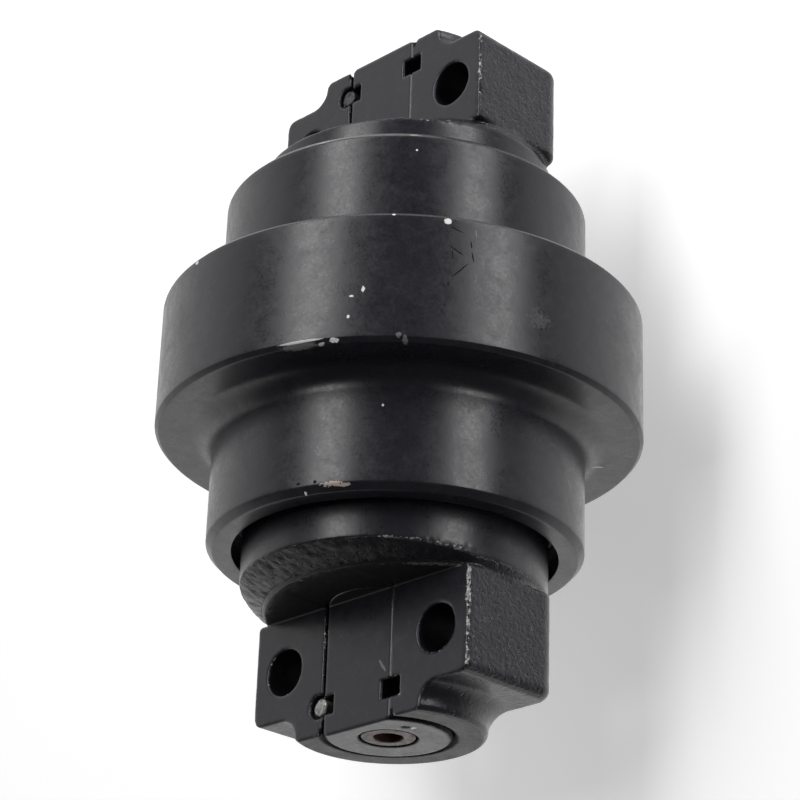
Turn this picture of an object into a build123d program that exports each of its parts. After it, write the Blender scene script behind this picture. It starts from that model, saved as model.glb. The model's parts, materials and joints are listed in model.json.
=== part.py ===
"""Track roller for a compact crawler undercarriage: one STEP file for each real piece."""
from build123d import *
import os

# Shared frame: origin on the roller axis at mid length, Y along the axis (filler plug end is -Y),
# Z up out of the mounting faces, X across the two bolt rows. All lengths are millimetres.

# shaft
SHAFT_R = 21.0
SHAFT_HALF = 125.5
SHAFT_FLAT_Z = 14.8
SHAFT_CHAMFER = 1.0
SLOT_X = 11.0
SLOT_W = 6.2
GALLERY_R = 4.5
GALLERY_END = 8.0
CROSS_R = 3.0
PORT_R = 9.6
PORT_DEPTH = 2.6
THREAD_R = 7.0
THREAD_DEPTH = 16.0
GROOVE_Y = 68.0
GROOVE_W = 4.2
GROOVE_R = 17.7

# roller shell
TREAD_R = 63.0
SHELL_HALF = 64.0
FLANGE_R = 82.7
FLANGE_HALF = 22.7
FLANGE_CHAMFER = 1.4
FLANGE_FILLET = 7.5
TREAD_CHAMFER = 2.2
RECESS_R = 54.3
RECESS_FLOOR = 52.0
SEAT_R = 43.0
SEAT_FLOOR = 40.0
SEAT_FLOOR_R = 41.8
BUSH_R = 25.0
RESERVOIR_R = 30.0
RESERVOIR_HALF = 10.0

# bush
BUSH_BORE_R = 21.05
BUSH_FLANGE_R = 29.5
BUSH_FLANGE_T = 4.0
END_PLAY = 0.35

# end collar
DISC_R = 51.0
DISC_IN = 52.6
WALL_Y = 81.0
COLLAR_BORE_R = 21.03
BEVEL_Y = 75.3
BEVEL_R = 52.2
BEVEL_DROP = 0.9
WALL_ARC_R = 57.0
WALL_ARC_DROP = 17.0
MOUNT_Z = 15.0
LUG_HALF_X = 49.0
LUG_REAR_Z = -27.0
LUG_END = 116.4
LUG_END_EDGE = 3.5
LUG_REAR_EDGE = 7.0
BOSS_R = 32.2
BOSS_END = 125.0
BOSS_EDGE = 2.2
WEB_R = 6.0
HUB_R = 30.0
SEAM_X = 16.0
SEAM_Z = 11.2
NOTCH_X = 19.4
NOTCH_Z = 2.0
BORE_CHAMFER = 1.5
BOLT_X = 35.0
BOLT_Y = 99.5
BOLT_HOLE_R = 8.0

# lock pin
PIN_R = 3.0
PIN_HOLE_R = 3.05
PIN_X = 17.7
PIN_Y = 115.0
PIN_TOP = 14.2
PIN_FOOT = -19.0
PIN_SINK_R = 4.0
PIN_SINK_Z = 12.8
PIN_CHAMFER = 0.5

# floating seal, one pair of rings at each end
SEAL_PLANE = 52.0
SEAL_GAP = 0.3
SEAL_IN_R = 34.0
SEAL_STEM_R = 36.6
SEAL_LIP_R = 41.0
SEAL_LIP_T = 2.4
SEAL_LEN = 7.6
TORIC_R = 2.85
TORIC_PITCH_R = 39.5
TORIC_Y = 5.75
CAVITY_DEPTH = 9.2
CAVITY_R = 42.4

# shaft ring
RING_R = 1.6
RING_PITCH_R = 19.35

# filler plug and its sealing washer
PLUG_HEAD_R = 9.0
PLUG_HEAD_T = 1.8
PLUG_STEM_R = 6.95
PLUG_STEM_L = 11.0
PLUG_SOCKET_R = 4.9
PLUG_SOCKET_DEPTH = 6.5
PLUG_CHAMFER = 0.5
WASHER_T = 0.6
WASHER_IN_R = 7.1
WASHER_OUT_R = 8.8

NEAR = -1
FAR = 1
BEYOND = 200.0


def rod(radius, y0, y1):
    """Solid cylinder on the roller axis between two stations."""
    return Pos(0, (y0 + y1) / 2, 0) * Rot(90, 0, 0) * Cylinder(radius, abs(y1 - y0))


def turned(points):
    """Solid of revolution about Y from (radius, station) corners."""
    outline = make_face(Polyline(*points, close=True))
    return revolve(outline, Axis.Y)


def block(x0, x1, y0, y1, z0, z1):
    """Box given by its limits along the three axes."""
    centre = ((x0 + x1) / 2, (y0 + y1) / 2, (z0 + z1) / 2)
    return Pos(*centre) * Box(abs(x1 - x0), abs(y1 - y0), abs(z1 - z0))


def post(radius, x, y, z0, z1):
    """Cylinder along Z between two heights."""
    return Pos(x, y, (z0 + z1) / 2) * Cylinder(radius, abs(z1 - z0))


def at_end(shape, side):
    """Pieces are drawn at the far end; the near one is the mirror image."""
    if side == FAR:
        return shape
    return mirror(shape, about=Plane.XZ)


def shell_blank():
    """Flange and treads with their blending fillets."""
    blank = turned([
        (0, -SHELL_HALF),
        (TREAD_R - TREAD_CHAMFER, -SHELL_HALF),
        (TREAD_R, -SHELL_HALF + TREAD_CHAMFER),
        (TREAD_R, -FLANGE_HALF),
        (FLANGE_R - FLANGE_CHAMFER, -FLANGE_HALF),
        (FLANGE_R, -FLANGE_HALF + FLANGE_CHAMFER),
        (FLANGE_R, FLANGE_HALF - FLANGE_CHAMFER),
        (FLANGE_R - FLANGE_CHAMFER, FLANGE_HALF),
        (TREAD_R, FLANGE_HALF),
        (TREAD_R, SHELL_HALF - TREAD_CHAMFER),
        (TREAD_R - TREAD_CHAMFER, SHELL_HALF),
        (0, SHELL_HALF),
    ])
    rings = blank.edges().filter_by(GeomType.CIRCLE)
    roots = [e for e in rings if abs(e.radius - TREAD_R) < 0.01 and abs(abs(e.center().Y) - FLANGE_HALF) < 0.01]
    return fillet(roots, FLANGE_FILLET)


def roller_shell():
    """Forged shell with end recesses, seal seats, bush bores and an oil reservoir."""
    shell = shell_blank()
    shell -= rod(BUSH_R, -SHELL_HALF, SHELL_HALF)
    shell -= rod(RESERVOIR_R, -RESERVOIR_HALF, RESERVOIR_HALF)
    cavity = turned([
        (0, SEAT_FLOOR),
        (SEAT_FLOOR_R, SEAT_FLOOR),
        (SEAT_R, RECESS_FLOOR),
        (RECESS_R, RECESS_FLOOR),
        (RECESS_R, SHELL_HALF),
        (0, SHELL_HALF),
    ])
    for side in (NEAR, FAR):
        shell -= at_end(cavity, side)
    return shell


def bush(side):
    """Flanged bronze bush pressed into the shell."""
    body = rod(BUSH_R, RESERVOIR_HALF, SEAT_FLOOR)
    body += rod(BUSH_FLANGE_R, SEAT_FLOOR, SEAT_FLOOR + BUSH_FLANGE_T)
    body -= rod(BUSH_BORE_R, 0, SHELL_HALF)
    return at_end(body, side)


def disc():
    """Round part of the collar that closes the shell recess, with its cast front bevel."""
    start = Pos(0, BEVEL_Y, -BEVEL_DROP) * Rot(90, 0, 0) * Circle(BEVEL_R)
    finish = Pos(0, WALL_Y, -WALL_ARC_DROP) * Rot(90, 0, 0) * Circle(WALL_ARC_R)
    skirt = loft([start, finish])
    front = rod(DISC_R, BEVEL_Y, WALL_Y) & skirt
    return rod(DISC_R, DISC_IN, BEVEL_Y) + front


def lug_block():
    """Rectangular bolting block with rounded rear and end edges."""
    body = block(-LUG_HALF_X, LUG_HALF_X, WALL_Y, LUG_END, LUG_REAR_Z, BOSS_R)
    body = fillet(body.edges().filter_by(Axis.Y).group_by(Axis.Z)[0], LUG_REAR_EDGE)
    return fillet(body.faces().sort_by(Axis.Y)[-1].edges(), LUG_END_EDGE)


def boss():
    """Round boss that carries the shaft end."""
    body = rod(BOSS_R, DISC_IN, BOSS_END)
    rim = body.edges().filter_by(GeomType.CIRCLE).sort_by(Axis.Y)[-1]
    return fillet(rim, BOSS_EDGE)


def cove(radius, station, size):
    """Concave ring that blends a round boss of the given radius into a flat face."""
    corner = (radius, station)
    out = (radius + size, station)
    up = (radius, station + size)
    arc = RadiusArc(out, up, size)
    outline = make_face(Curve() + [Line(corner, out), arc, Line(up, corner)])
    return revolve(outline, Axis.Y)


def cast_collar():
    """Disc, bolting block, boss and coves joined and cut off level at the mounting faces."""
    body = lug_block() + boss()
    within = block(-LUG_HALF_X, LUG_HALF_X, LUG_END - 1, BOSS_END, LUG_REAR_Z + LUG_END_EDGE, MOUNT_Z)
    body += cove(BOSS_R - 0.5, LUG_END - 0.05, WEB_R + 0.5) & within
    body += cove(BOSS_R - 0.5, WALL_Y - 0.05, WEB_R + 0.5)
    body -= block(-BEYOND, BEYOND, 0, BEYOND, MOUNT_Z, BEYOND)
    return body + disc()


def bore_cut():
    """Shaft bore with the broken edge at the boss face and the open seam beside the flats."""
    cut = rod(COLLAR_BORE_R, 0, BEYOND)
    cut += turned([
        (0, BOSS_END - BORE_CHAMFER),
        (COLLAR_BORE_R, BOSS_END - BORE_CHAMFER),
        (COLLAR_BORE_R + BORE_CHAMFER, BOSS_END),
        (COLLAR_BORE_R + BORE_CHAMFER, BOSS_END + 1),
        (0, BOSS_END + 1),
    ])
    cut += block(-SEAM_X, SEAM_X, WALL_Y, BEYOND, SEAM_Z, BEYOND)
    return cut


def seal_cavity():
    """Ring groove in the collar's inner face that houses the still half of the floating seal."""
    return rod(CAVITY_R, DISC_IN - 1, SEAL_PLANE + CAVITY_DEPTH) - rod(HUB_R, 0, BEYOND)


def end_collar(side):
    """Cast end collar: bored for the shaft, drilled for bolts and lock pin, notched opposite the pin."""
    body = cast_collar()
    body += rod(HUB_R, SEAT_FLOOR + BUSH_FLANGE_T + END_PLAY, WALL_Y)
    body -= bore_cut()
    body -= seal_cavity()
    for x in (-BOLT_X, BOLT_X):
        body -= post(BOLT_HOLE_R, x, BOLT_Y, LUG_REAR_Z - 1, MOUNT_Z + 1)
    body -= post(PIN_HOLE_R, -PIN_X, PIN_Y, PIN_FOOT, MOUNT_Z + 1)
    body -= post(PIN_SINK_R, -PIN_X, PIN_Y, PIN_SINK_Z, MOUNT_Z + 1)
    body -= block(SLOT_X, NOTCH_X, PIN_Y - SLOT_W / 2, PIN_Y + SLOT_W / 2, NOTCH_Z, MOUNT_Z + 1)
    return at_end(body, side)


def lock_pin(side):
    """Plain pin that drops through the collar into the shaft's edge slot."""
    pin = post(PIN_R, -PIN_X, PIN_Y, PIN_FOOT, PIN_TOP)
    return at_end(chamfer(pin.edges().filter_by(GeomType.CIRCLE), PIN_CHAMFER), side)


def shaft():
    """Fixed shaft with end flats, pin slots, ring grooves and the oil drillings."""
    body = rod(SHAFT_R, -SHAFT_HALF, SHAFT_HALF)
    body = chamfer(body.edges().filter_by(GeomType.CIRCLE), SHAFT_CHAMFER)
    groove = rod(SHAFT_R + 1, GROOVE_Y - GROOVE_W / 2, GROOVE_Y + GROOVE_W / 2)
    groove -= rod(GROOVE_R, 0, BEYOND)
    for side in (NEAR, FAR):
        body -= at_end(block(-BEYOND, BEYOND, WALL_Y, BEYOND, SHAFT_FLAT_Z, BEYOND), side)
        body -= at_end(groove, side)
        for hand in (-1, 1):
            slot = block(hand * SLOT_X, hand * BEYOND, PIN_Y - SLOT_W / 2, PIN_Y + SLOT_W / 2, -BEYOND, BEYOND)
            body -= at_end(slot, side)
    body -= rod(PORT_R, -SHAFT_HALF, -SHAFT_HALF + PORT_DEPTH)
    body -= rod(THREAD_R, -SHAFT_HALF, -SHAFT_HALF + PORT_DEPTH + THREAD_DEPTH)
    body -= rod(GALLERY_R, -SHAFT_HALF, GALLERY_END)
    body -= post(CROSS_R, 0, 0, -SHAFT_R - 1, SHAFT_R + 1)
    return body


def metal_ring(side, facing):
    """Hard seal ring: lapped lip at the seal plane, plain stem behind it."""
    face = SEAL_PLANE + facing * SEAL_GAP / 2
    back = face + facing * SEAL_LEN
    lip = face + facing * SEAL_LIP_T
    ring = turned([
        (SEAL_IN_R, face),
        (SEAL_LIP_R, face),
        (SEAL_LIP_R, lip),
        (SEAL_STEM_R, lip),
        (SEAL_STEM_R, back),
        (SEAL_IN_R, back),
    ])
    return at_end(ring, side)


def toric_ring(side, facing):
    """Rubber ring that presses a metal seal ring towards its partner."""
    station = SEAL_PLANE + facing * TORIC_Y
    ring = Pos(0, station, 0) * Rot(90, 0, 0) * Torus(TORIC_PITCH_R, TORIC_R)
    return at_end(ring, side)


def shaft_ring(side):
    """Small rubber ring between shaft and collar bore."""
    ring = Pos(0, GROOVE_Y, 0) * Rot(90, 0, 0) * Torus(RING_PITCH_R, RING_R)
    return at_end(ring, side)


def plug_washer():
    """Sealing washer under the filler plug head."""
    floor = -SHAFT_HALF + PORT_DEPTH
    return rod(WASHER_OUT_R, floor - WASHER_T, floor) - rod(WASHER_IN_R, floor - WASHER_T, floor)


def filler_plug():
    """Oil filler plug with a round drive recess."""
    seat = -SHAFT_HALF + PORT_DEPTH - WASHER_T
    head = rod(PLUG_HEAD_R, seat - PLUG_HEAD_T, seat)
    head = chamfer(head.edges().filter_by(GeomType.CIRCLE).sort_by(Axis.Y)[0], PLUG_CHAMFER)
    plug = head + rod(PLUG_STEM_R, seat - PLUG_HEAD_T / 2, seat + PLUG_STEM_L)
    return plug - rod(PLUG_SOCKET_R, seat - PLUG_HEAD_T, seat - PLUG_HEAD_T + PLUG_SOCKET_DEPTH)


def all_pieces():
    """Every node of the roller, by name."""
    pieces = {
        "roller_shell": roller_shell(),
        "shaft": shaft(),
        "filler_plug": filler_plug(),
        "plug_washer": plug_washer(),
    }
    for name, side in (("near", NEAR), ("far", FAR)):
        pieces[f"{name}_collar"] = end_collar(side)
        pieces[f"{name}_bush"] = bush(side)
        pieces[f"{name}_lock_pin"] = lock_pin(side)
        pieces[f"{name}_shaft_ring"] = shaft_ring(side)
        for half, facing in (("shell", -1), ("collar", 1)):
            pieces[f"{name}_{half}_seal_ring"] = metal_ring(side, facing)
            pieces[f"{name}_{half}_toric_ring"] = toric_ring(side, facing)
    return pieces


os.makedirs("parts", exist_ok=True)
for node, piece in all_pieces().items():
    export_step(piece, f"parts/{node}.step")
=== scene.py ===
"""Track roller in satin black paint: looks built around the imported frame.

Lengths inside the mesh code are millimetres in the roller's own frame: origin on the axis at mid
length, Y along the axis (the filler plug end is -Y), Z up out of the mounting faces.
"""

import json
import logging
import math
from collections.abc import Callable, Sequence
from dataclasses import dataclass, field
from enum import Enum

import bpy
import numpy as np
from mathutils import Matrix, Vector


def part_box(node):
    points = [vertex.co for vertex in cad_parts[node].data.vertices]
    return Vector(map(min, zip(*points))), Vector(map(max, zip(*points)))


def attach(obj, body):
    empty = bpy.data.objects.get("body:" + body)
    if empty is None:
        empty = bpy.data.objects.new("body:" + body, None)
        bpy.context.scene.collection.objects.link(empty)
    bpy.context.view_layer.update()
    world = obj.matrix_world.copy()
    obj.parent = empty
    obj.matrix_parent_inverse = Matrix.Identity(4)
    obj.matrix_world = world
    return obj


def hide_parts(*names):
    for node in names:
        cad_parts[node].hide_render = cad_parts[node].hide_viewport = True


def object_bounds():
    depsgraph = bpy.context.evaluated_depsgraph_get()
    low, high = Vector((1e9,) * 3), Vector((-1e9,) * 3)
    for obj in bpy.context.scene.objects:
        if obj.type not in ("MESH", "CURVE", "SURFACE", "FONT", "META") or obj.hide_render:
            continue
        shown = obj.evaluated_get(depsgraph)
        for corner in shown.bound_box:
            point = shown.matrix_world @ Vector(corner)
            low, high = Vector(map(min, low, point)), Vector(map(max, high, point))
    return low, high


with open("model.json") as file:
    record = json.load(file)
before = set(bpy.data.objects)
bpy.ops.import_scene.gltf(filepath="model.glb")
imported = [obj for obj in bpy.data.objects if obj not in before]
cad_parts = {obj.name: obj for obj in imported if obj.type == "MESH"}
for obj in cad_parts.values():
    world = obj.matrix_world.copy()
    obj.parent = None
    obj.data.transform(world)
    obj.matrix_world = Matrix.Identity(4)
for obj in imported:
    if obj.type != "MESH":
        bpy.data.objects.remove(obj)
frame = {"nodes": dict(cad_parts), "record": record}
CAD_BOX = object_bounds()

LOG = logging.getLogger("track_roller")
MM = 0.001

Field = Callable[[np.ndarray, np.ndarray, np.ndarray], np.ndarray]
Colour = tuple[float, float, float]


class End(Enum):
    """The two ends of the roller; the value is the sign of Y there."""

    NEAR = -1
    FAR = 1

    @property
    def word(self) -> str:
        """Word that starts the names of this end's nodes."""
        return self.name.lower()


def radius_of(node: str) -> float:
    """Largest X of a turned node, in millimetres."""
    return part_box(node)[1].x / MM


def reach_of(node: str) -> float:
    """Largest Y of a node, in millimetres."""
    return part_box(node)[1].y / MM


def mount(name: str) -> dict:
    """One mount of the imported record."""
    return next(m for m in frame["record"]["mounts"] if m["name"] == name)


# ---------------------------------------------------------------- solid shapes as distance fields


def round_union(a: np.ndarray, b: np.ndarray, size: float) -> np.ndarray:
    """Joins two distance fields with a concave fillet.

    Args:
        a: First field, negative inside.
        b: Second field.
        size: Fillet radius.

    Returns:
        The joined field.
    """
    u = np.maximum(size - a, 0)
    v = np.maximum(size - b, 0)
    return np.maximum(size, np.minimum(a, b)) - np.hypot(u, v)


def round_common(a: np.ndarray, b: np.ndarray, size: float) -> np.ndarray:
    """Keeps what two distance fields share, with the meeting edge rounded off.

    Args:
        a: First field, negative inside.
        b: Second field.
        size: Edge radius.

    Returns:
        The shared field.
    """
    u = np.maximum(size + a, 0)
    v = np.maximum(size + b, 0)
    return np.minimum(-size, np.maximum(a, b)) + np.hypot(u, v)


def round_cut(a: np.ndarray, tool: np.ndarray, size: float) -> np.ndarray:
    """Cuts a tool out of a field and rounds the edge that the cut leaves."""
    return round_common(a, -tool, size)


def bar(x: np.ndarray, y: np.ndarray, half_x: float, half_y: float, corner: float) -> np.ndarray:
    """Distance field of a rectangle with round corners, centred on zero.

    Args:
        x: First coordinate.
        y: Second coordinate.
        half_x: Half length along the first.
        half_y: Half length along the second.
        corner: Corner radius.

    Returns:
        The distance field, negative inside.
    """
    u = np.abs(x) - half_x + corner
    v = np.abs(y) - half_y + corner
    outside = np.hypot(np.maximum(u, 0), np.maximum(v, 0))
    return outside + np.minimum(np.maximum(u, v), 0) - corner


def between(value: np.ndarray, low: float, high: float) -> np.ndarray:
    """Distance field of the slab between two stations."""
    return np.maximum(low - value, value - high)


class SolidNoise:
    """Smooth random field over space that is the same on each run."""

    def __init__(self, seed: int, size: int = 48) -> None:
        """Fills the lattice of random values."""
        self.size = size
        self.table = np.random.default_rng(seed).random((size, size, size))

    def __call__(self, points: np.ndarray, grain: float) -> np.ndarray:
        """Samples the field.

        Args:
            points: Positions, one row each.
            grain: Distance between independent values.

        Returns:
            One value between 0 and 1 for each point.
        """
        scaled = points / grain
        base = np.floor(scaled).astype(int)
        part = scaled - base
        part = part * part * (3 - 2 * part)
        total = np.zeros(len(points))
        for corner in np.ndindex(2, 2, 2):
            step = np.array(corner)
            weight = np.where(step == 1, part, 1 - part).prod(axis=1)
            i, j, k = ((base + step) % self.size).T
            total += weight * self.table[i, j, k]
        return total


@dataclass
class Skin:
    """Surface mesh in millimetres with one float layer for each named surface trait."""

    points: np.ndarray
    faces: np.ndarray
    traits: dict[str, np.ndarray] = field(default_factory=dict)

    def mirrored(self) -> "Skin":
        """The same surface at the other end of the roller."""
        return Skin(self.points * (1, -1, 1), self.faces[:, ::-1], dict(self.traits))

    def normals(self) -> np.ndarray:
        """Unit normal at each point, from the faces around it.

        Returns:
            One unit row for each point.
        """
        a, b, c, d = (self.points[self.faces[:, k]] for k in range(4))
        face = np.cross(c - a, d - b)
        total = np.zeros_like(self.points)
        for k in range(4):
            np.add.at(total, self.faces[:, k], face)
        return total / np.maximum(np.linalg.norm(total, axis=1, keepdims=True), 1e-9)

    def to_object(self, name: str) -> bpy.types.Object:
        """Makes the Blender object, in metres, with smooth shading.

        Args:
            name: Name of the piece.

        Returns:
            The new object, linked to the scene.
        """
        mesh = bpy.data.meshes.new(name)
        mesh.vertices.add(len(self.points))
        mesh.vertices.foreach_set("co", (self.points * MM).astype(np.float32).ravel())
        mesh.loops.add(self.faces.size)
        mesh.loops.foreach_set("vertex_index", self.faces.astype(np.int32).ravel())
        mesh.polygons.add(len(self.faces))
        corners = self.faces.shape[1]
        mesh.polygons.foreach_set("loop_start", np.arange(len(self.faces), dtype=np.int32) * corners)
        mesh.update(calc_edges=True)
        mesh.validate()
        mesh.shade_smooth()
        for trait, values in self.traits.items():
            layer = mesh.attributes.new(trait, "FLOAT", "POINT")
            layer.data.foreach_set("value", values.astype(np.float32))
        piece = bpy.data.objects.new(name, mesh)
        bpy.context.scene.collection.objects.link(piece)
        return piece


@dataclass
class Moulder:
    """Turns a distance field into a surface mesh of even square-ish faces."""

    solid: Field
    low: Sequence[float]
    high: Sequence[float]
    pitch: float = 0.6

    def grid(self) -> tuple[list[np.ndarray], np.ndarray]:
        """Field values on an even grid that covers the box, with one spare cell around.

        Returns:
            The stations along each axis, and the values.
        """
        axes = []
        for low, high in zip(self.low, self.high):
            count = math.ceil((high - low) / self.pitch) + 3
            axes.append(low - 1.31 * self.pitch + np.arange(count) * self.pitch)
        spread = np.meshgrid(*axes, indexing="ij", sparse=True)
        shape = tuple(len(a) for a in axes)
        return axes, np.broadcast_to(self.solid(*spread), shape).astype(np.float32)

    def cells(self, value: np.ndarray) -> tuple[np.ndarray, np.ndarray]:
        """Grid cells that the surface passes through, and the surface point in each.

        Args:
            value: Field values on the grid.

        Returns:
            Cell indices, one row each, and the point in each cell in grid units.
        """
        inside = value < 0
        count = np.zeros(tuple(n - 1 for n in value.shape), np.int8)
        for corner in np.ndindex(2, 2, 2):
            count += inside[tuple(slice(c, n - 1 + c) for c, n in zip(corner, value.shape))]
        cell = np.argwhere((count > 0) & (count < 8))
        total = np.zeros((len(cell), 3))
        hits = np.zeros(len(cell))
        for axis in range(3):
            step = np.eye(3, dtype=int)[axis]
            others = [k for k in range(3) if k != axis]
            for first in (0, 1):
                for second in (0, 1):
                    offset = np.zeros(3, int)
                    offset[others[0]] = first
                    offset[others[1]] = second
                    start = value[tuple((cell + offset).T)]
                    stop = value[tuple((cell + offset + step).T)]
                    crossed = (start < 0) != (stop < 0)
                    part = np.where(crossed, start / np.where(crossed, start - stop, 1), 0)
                    total += crossed[:, None] * (offset + part[:, None] * step)
                    hits += crossed
        return cell, cell + total / hits[:, None]

    def quads(self, value: np.ndarray, cell: np.ndarray) -> np.ndarray:
        """Faces round each grid edge that the surface crosses.

        Args:
            value: Field values on the grid.
            cell: Indices of the cells that hold a point.

        Returns:
            Four point numbers for each face, turned outwards.
        """
        number = np.full(tuple(n - 1 for n in value.shape), -1, np.int64)
        number[tuple(cell.T)] = np.arange(len(cell))
        inside = value < 0
        found = []
        for axis in range(3):
            ahead = np.roll(inside, -1, axis)
            change = inside != ahead
            change[tuple(slice(-1, None) if k == axis else slice(None) for k in range(3))] = False
            edge = np.argwhere(change)
            first, second = [np.eye(3, dtype=int)[k] for k in ((axis + 1) % 3, (axis + 2) % 3)]
            ring = [edge - first - second, edge - second, edge, edge - first]
            face = np.stack([number[tuple(c.T)] for c in ring], axis=1)
            leaving = inside[tuple(edge.T)]
            face[~leaving] = face[~leaving][:, ::-1]
            found.append(face)
        return np.concatenate(found)

    def settle(self, points: np.ndarray) -> np.ndarray:
        """Slides points onto the exact surface, by less than a cell.

        Args:
            points: Positions in millimetres.

        Returns:
            The settled positions.
        """
        start = points.copy()
        for _ in range(4):
            here = self.solid(*points.T)
            slope = self.slope(points)
            points = points - slope * (here / np.maximum((slope**2).sum(axis=1), 0.2))[:, None]
        return start + np.clip(points - start, -0.6 * self.pitch, 0.6 * self.pitch)

    def slope(self, points: np.ndarray, reach: float = 0.02) -> np.ndarray:
        """Gradient of the field at each point.

        Args:
            points: Positions in millimetres.
            reach: Distance to each side at which the field is sampled.

        Returns:
            One row for each point.
        """
        columns = []
        for axis in range(3):
            step = np.eye(3)[axis] * reach
            rise = self.solid(*(points + step).T) - self.solid(*(points - step).T)
            columns.append(rise / (2 * reach))
        return np.stack(columns, axis=1)

    def sharpness(self, points: np.ndarray, normals: np.ndarray, depth: float = 0.9) -> np.ndarray:
        """How far each point sits out on a convex edge: 0 on a flat, about 0.3 on a square edge.

        Args:
            points: Positions on the surface.
            normals: Unit normals there.
            depth: How far under the surface the field is sampled.

        Returns:
            One value for each point.
        """
        steep = np.maximum(np.linalg.norm(self.slope(points), axis=1), 0.2)
        under = self.solid(*(points - normals * depth).T) / steep
        return np.clip((under + depth) / depth, 0, 1)

    def skin(self) -> Skin:
        """Builds the surface with its `edge` trait.

        Returns:
            The surface mesh.
        """
        axes, value = self.grid()
        cell, spots = self.cells(value)
        faces = self.quads(value, cell)
        points = self.settle(np.array([a[0] for a in axes]) + spots * self.pitch)
        skin = Skin(points, faces)
        skin.traits["edge"] = self.sharpness(points, skin.normals())
        return skin


@dataclass(frozen=True)
class Corner:
    """Corner of a turned outline: radius and station from the axis, and how much it is rounded."""

    radius: float
    station: float
    rounding: float = 0.0


@dataclass
class Lathe:
    """Turns an outline about an axis into a surface mesh.

    The outline is closed, or capped: then it runs from near the axis back to near it, and both ends
    are filled in to the axis.
    """

    corners: Sequence[Corner]
    segments: int = 720
    pitch: float = 1.5
    arc_pitch: float = 0.35
    capped: bool = False

    def outline(self) -> tuple[np.ndarray, np.ndarray]:
        """Outline points with each corner rounded, and how near each is to a convex edge.

        Returns:
            Radius and station of each point, and one edge value each.
        """
        spots = [np.array((c.radius, c.station)) for c in self.corners]
        path: list[np.ndarray] = []
        edge: list[float] = []
        for k, corner in enumerate(self.corners):
            here, last, after = spots[k], spots[k - 1], spots[(k + 1) % len(spots)]
            back = (last - here) / np.linalg.norm(last - here)
            on = (after - here) / np.linalg.norm(after - here)
            convex = float(back[0] * on[1] - back[1] * on[0] > 0)
            half = math.acos(max(-1.0, min(1.0, float(back @ on)))) / 2
            if corner.rounding <= 0:
                path.append(here)
                edge.append(convex)
                continue
            run = corner.rounding / math.tan(half)
            middle = here + (back + on) / np.linalg.norm(back + on) * corner.rounding / math.sin(half)
            first, final = here + back * run, here + on * run
            turn = math.pi - 2 * half
            steps = max(3, math.ceil(turn * corner.rounding / self.arc_pitch))
            start = math.atan2(*(first - middle)[::-1])
            sweep = math.atan2(*(final - middle)[::-1]) - start
            sweep = (sweep + math.pi) % (2 * math.pi) - math.pi
            for n in range(steps + 1):
                angle = start + sweep * n / steps
                path.append(middle + corner.rounding * np.array((math.cos(angle), math.sin(angle))))
                edge.append(convex * math.sin(math.pi * n / steps) * min(1.0, 2.0 / corner.rounding))
        return self.divided(path, edge)

    def divided(self, path: list[np.ndarray], edge: list[float]) -> tuple[np.ndarray, np.ndarray]:
        """Adds points along the straight stretches so that no face is long and thin.

        Args:
            path: Outline points.
            edge: Edge value of each.

        Returns:
            The longer outline and its edge values.
        """
        points: list[np.ndarray] = []
        worn: list[float] = []
        for k, here in enumerate(path):
            after = path[(k + 1) % len(path)]
            steps = max(1, math.ceil(float(np.linalg.norm(after - here)) / self.pitch))
            if self.capped and k == len(path) - 1:
                steps = 1
            for n in range(steps):
                points.append(here + (after - here) * n / steps)
                worn.append(edge[k] if n == 0 else 0.0)
        return np.array(points), np.array(worn)

    def skin(self) -> Skin:
        """Builds the turned surface about Y with its `edge` trait.

        Returns:
            The surface mesh.
        """
        outline, worn = self.outline()
        count = len(outline)
        angle = np.linspace(0, 2 * math.pi, self.segments, endpoint=False)
        radius, station = outline[:, 0], outline[:, 1]
        x = np.sin(angle)[:, None] * radius
        z = np.cos(angle)[:, None] * radius
        y = np.broadcast_to(station, x.shape)
        points = np.stack([x, y, z], axis=2).reshape(-1, 3)
        ring = np.arange(self.segments)[:, None] * count
        ahead = np.roll(ring, -1, axis=0)
        step = np.arange(count)
        after = (step + 1) % count
        quads = np.stack([ring + step, ahead + step, ahead + after, ring + after], axis=2)
        edge = np.tile(worn, self.segments)
        if self.capped:
            hub = len(points)
            points = np.vstack([points, (0, station[0], 0), (0, station[-1], 0)])
            edge = np.append(edge, (0.0, 0.0))
            caps = self.caps(ring[:, 0], hub, count - 1)
            quads = np.concatenate([quads[:, :-1].reshape(-1, 4), caps])
        quads = quads.reshape(-1, 4)
        if self.signed_area(outline) < 0:
            quads = quads[:, ::-1]
        return Skin(points, quads, {"edge": edge})

    @staticmethod
    def caps(ring: np.ndarray, hub: int, last: int) -> np.ndarray:
        """Faces that fill both ends in to the axis, each over two segments.

        Args:
            ring: Number of the first outline point at each angle.
            hub: Number of the point on the axis at the outline's start; the end's one follows it.
            last: Place of the last point in the outline.

        Returns:
            Four point numbers for each face.
        """
        first, middle, end = ring[::2], ring[1::2], np.roll(ring, -2)[::2]
        centre = np.full_like(first, hub)
        start_cap = np.stack([centre, end, middle, first], axis=1)
        end_cap = np.stack([centre + 1, first + last, middle + last, end + last], axis=1)
        return np.concatenate([start_cap, end_cap])

    @staticmethod
    def signed_area(outline: np.ndarray) -> float:
        """Area of the outline, positive when it runs counter-clockwise."""
        ahead = np.roll(outline, -1, axis=0)
        return float((outline[:, 0] * ahead[:, 1] - outline[:, 1] * ahead[:, 0]).sum() / 2)


# ---------------------------------------------------------------- finishes


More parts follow.
